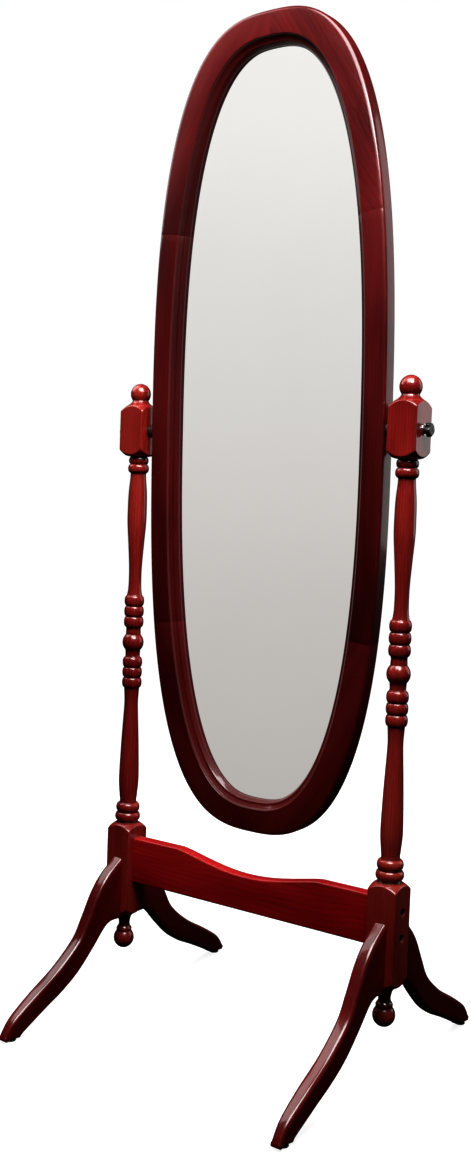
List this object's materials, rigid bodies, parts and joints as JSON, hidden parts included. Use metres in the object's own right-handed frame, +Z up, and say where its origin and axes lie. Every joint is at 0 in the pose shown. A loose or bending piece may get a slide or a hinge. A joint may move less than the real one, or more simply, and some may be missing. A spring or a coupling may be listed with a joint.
{
  "type": "cheval floor mirror",
  "caption": "Oval tilting mirror held between two turned posts on splayed cabriole feet, clamped by a knob at each side and tied by a shaped stretcher.",
  "frame": {"origin": "on the floor, midway between the four feet", "axes": "+X to the right-hand post as seen by a person looking into the mirror, -Y towards that person, +Z up"},
  "size_m": [0.5502, 0.531, 1.5051],
  "materials": {
    "cherry_wood": "gloss lacquer",
    "frame_cherry": "gloss lacquer",
    "mirror_glass": "polished",
    "hardboard": "matte",
    "beech": "bare",
    "zinc_steel": "zinc plated",
    "black_steel": "blackened",
    "brass": "satin",
    "black_plastic": "moulded",
    "nylon": "moulded"
  },
  "bodies": {
    "stand": {"back_left_glide": "nylon", "back_left_leg": "cherry_wood", "back_left_leg_dowel_lower": "beech", "back_left_leg_dowel_upper": "beech", "back_left_leg_plug": "cherry_wood", "back_left_leg_screw": "zinc_steel", "back_right_glide": "nylon", "back_right_leg": "cherry_wood", "back_right_leg_dowel_lower": "beech", "back_right_leg_dowel_upper": "beech", "back_right_leg_plug": "cherry_wood", "back_right_leg_screw": "zinc_steel", "front_left_glide": "nylon", "front_left_leg": "cherry_wood", "front_left_leg_dowel_lower": "beech", "front_left_leg_dowel_upper": "beech", "front_left_leg_plug": "cherry_wood", "front_left_leg_screw": "zinc_steel", "front_right_glide": "nylon", "front_right_leg": "cherry_wood", "front_right_leg_dowel_lower": "beech", "front_right_leg_dowel_upper": "beech", "front_right_leg_plug": "cherry_wood", "front_right_leg_screw": "zinc_steel", "left_pivot_spacer": "nylon", "left_post": "cherry_wood", "left_rail_barrel_nut_lower": "zinc_steel", "left_rail_barrel_nut_upper": "zinc_steel", "left_rail_bolt_lower": "black_steel", "left_rail_bolt_upper": "black_steel", "right_pivot_spacer": "nylon", "right_post": "cherry_wood", "right_rail_barrel_nut_lower": "zinc_steel", "right_rail_barrel_nut_upper": "zinc_steel", "right_rail_bolt_lower": "black_steel", "right_rail_bolt_upper": "black_steel", "stretcher_rail": "cherry_wood"},
    "mirror": {"backing_board": "hardboard", "backing_clip_1": "brass", "backing_clip_2": "brass", "backing_clip_3": "brass", "backing_clip_4": "brass", "backing_clip_5": "brass", "backing_clip_6": "brass", "clip_screw_1": "brass", "clip_screw_2": "brass", "clip_screw_3": "brass", "clip_screw_4": "brass", "clip_screw_5": "brass", "clip_screw_6": "brass", "left_pivot_insert": "brass", "mirror_frame": "frame_cherry", "mirror_glass": "mirror_glass", "right_pivot_insert": "brass"},
    "left_clamp": {"left_knob": "black_plastic", "left_knob_stud": "zinc_steel", "left_knob_washer": "zinc_steel"},
    "right_clamp": {"right_knob": "black_plastic", "right_knob_stud": "zinc_steel", "right_knob_washer": "zinc_steel"}
  },
  "joints": [
    {"name": "mirror_tilt", "type": "hinge", "parent": "stand", "child": "mirror", "pos_m": [0, 0, 0.905], "axis": [1, 0, 0], "continuous": true},
    {"name": "right_knob_turn", "type": "hinge", "parent": "stand", "child": "right_clamp", "pos_m": [0.27, 0, 0.905], "axis": [1, 0, 0], "range_deg": [0, 540]},
    {"name": "left_knob_turn", "type": "hinge", "parent": "stand", "child": "left_clamp", "pos_m": [-0.27, 0, 0.905], "axis": [-1, 0, 0], "range_deg": [0, 540]}
  ]
}
